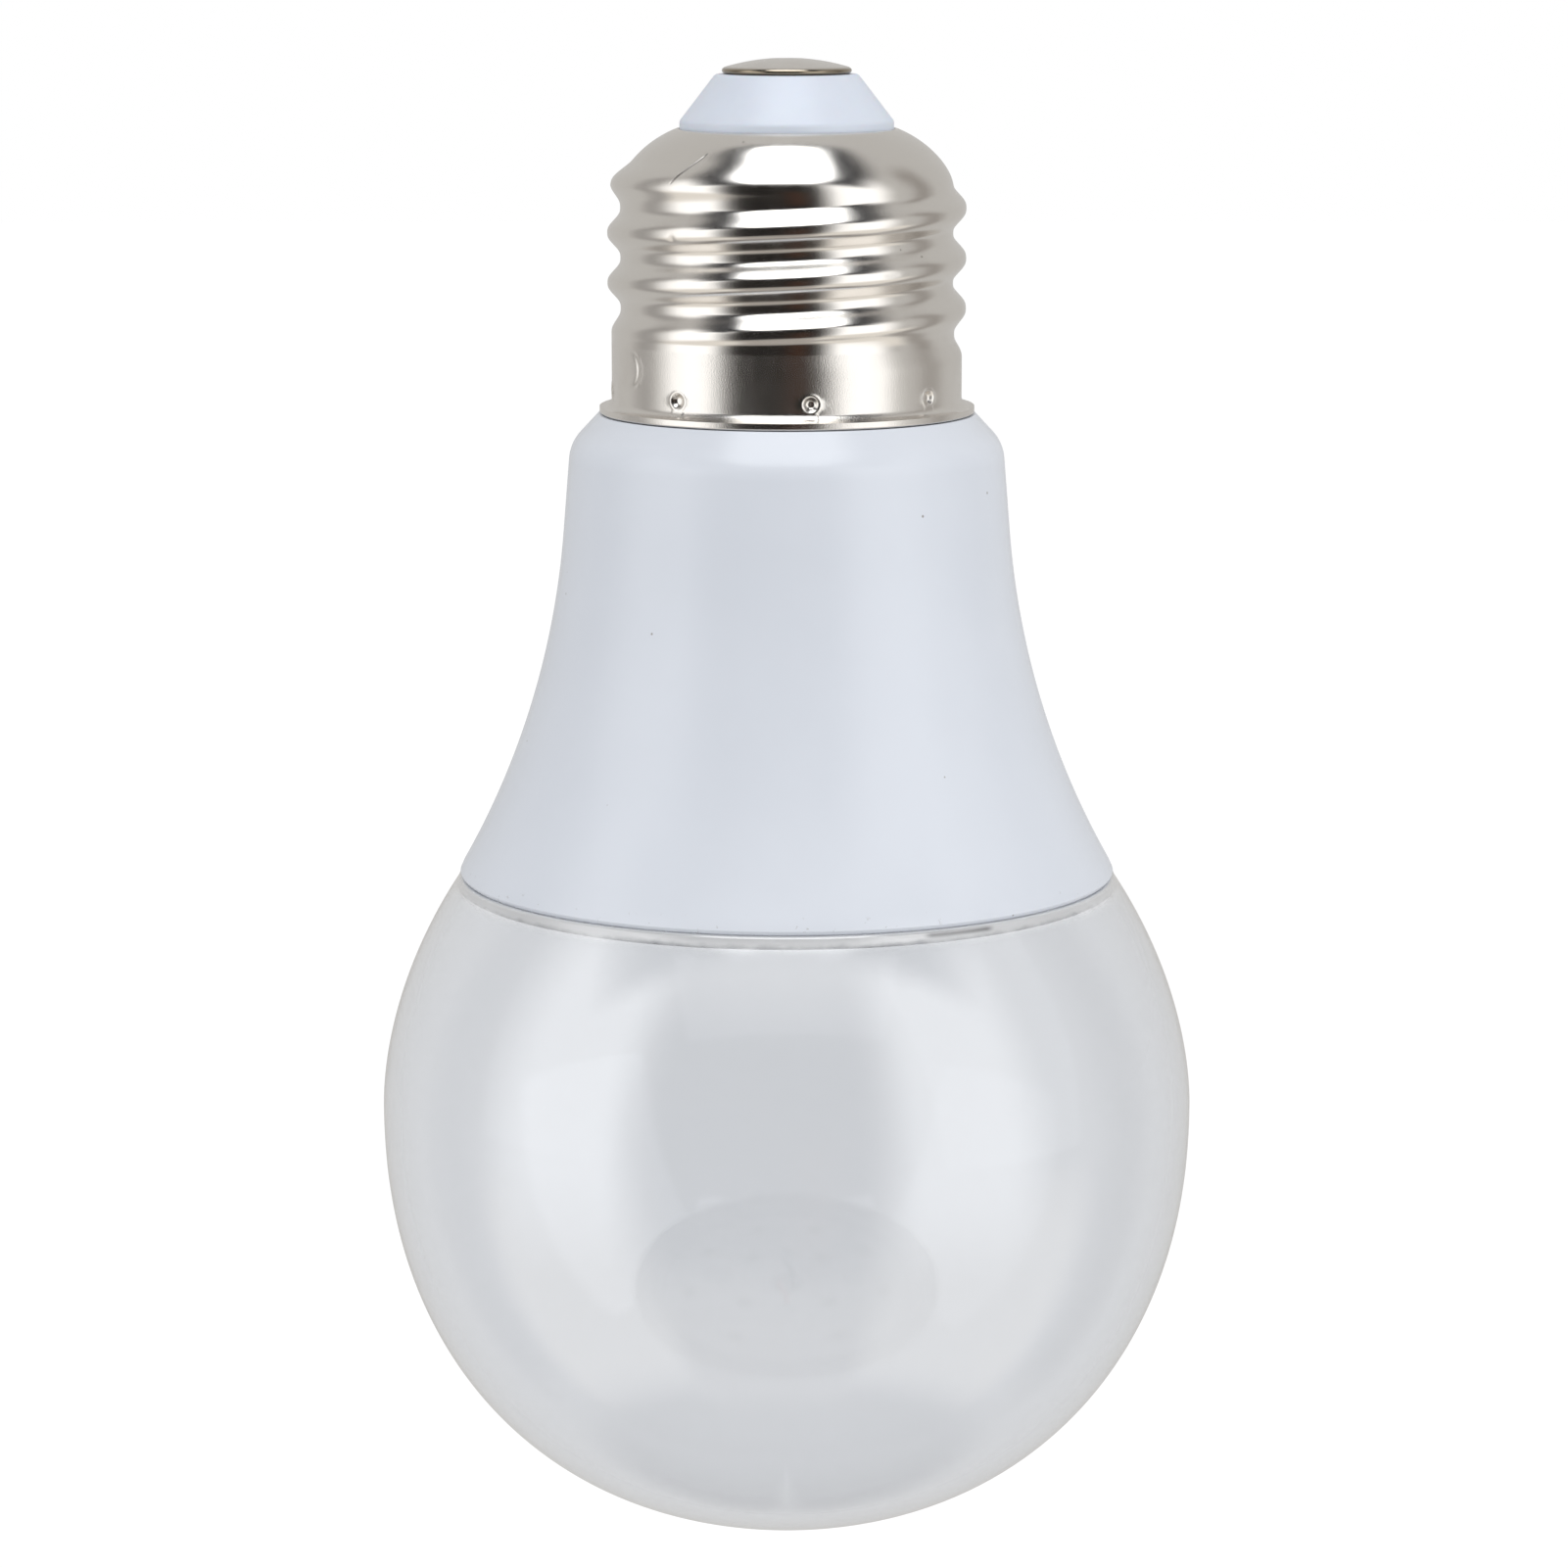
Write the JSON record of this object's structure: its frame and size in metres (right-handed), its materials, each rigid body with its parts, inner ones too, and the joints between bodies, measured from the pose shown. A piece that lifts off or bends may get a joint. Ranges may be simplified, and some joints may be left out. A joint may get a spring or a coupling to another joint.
{
  "type": "uv black light bulb",
  "caption": "Base-up LED black light bulb: nickel screw cap, white plastic bell housing and a clear round globe over a disc of ultraviolet LEDs.",
  "frame": {"origin": "tip of the centre contact, on the bulb's axis", "axes": "+Z along the bulb's axis, out of the cap and into the lampholder; the globe hangs below at -Z; -Y faces the viewer of the picture"},
  "size_m": [0.0602, 0.0602, 0.1089],
  "materials": {
    "nickel": "bright nickel plate",
    "insulator_plastic": "satin moulded plastic",
    "housing_plastic": "glossy moulded plastic",
    "clear_plastic": "clear polished plastic",
    "aluminium": "drawn sheet, satin",
    "thermal_silicone": "soft pad",
    "board_white": "white solder mask",
    "board_green": "green solder mask",
    "led_package": "white package with a clear window",
    "solder": "tin solder",
    "screw_steel": "zinc plated",
    "lead_red": "insulated lead",
    "lead_black": "insulated lead",
    "lead_brown": "insulated lead",
    "lead_blue": "insulated lead",
    "resistor_blue": "lacquer",
    "chip_black": "moulded resin",
    "capacitor_sleeve": "shrink sleeve",
    "ferrite": "ferrite and wire",
    "winding_tape": "tape over a winding",
    "sealant": "cured silicone"
  },
  "bodies": {
    "root": {"contact_pin": "nickel", "cap_insulator": "insulator_plastic", "screw_shell": "nickel", "housing": "housing_plastic", "heat_sink": "aluminium", "thermal_pad": "thermal_silicone", "led_board": "board_white", "led_1": "led_package", "led_2": "led_package", "led_3": "led_package", "led_4": "led_package", "led_5": "led_package", "led_6": "led_package", "led_7": "led_package", "led_8": "led_package", "led_9": "led_package", "led_10": "led_package", "led_11": "led_package", "led_12": "led_package", "solder_joints": "solder", "board_screws": "screw_steel", "lead_positive": "lead_red", "lead_negative": "lead_black", "driver_board": "board_green", "fuse_resistor": "resistor_blue", "bridge_rectifier": "chip_black", "input_capacitor": "capacitor_sleeve", "filter_inductor": "ferrite", "power_inductor": "winding_tape", "driver_chip": "chip_black", "output_diode": "chip_black", "output_capacitor": "capacitor_sleeve", "live_lead": "lead_brown", "neutral_lead": "lead_blue", "globe_sealant": "sealant", "globe": "clear_plastic"}
  },
  "joints": []
}
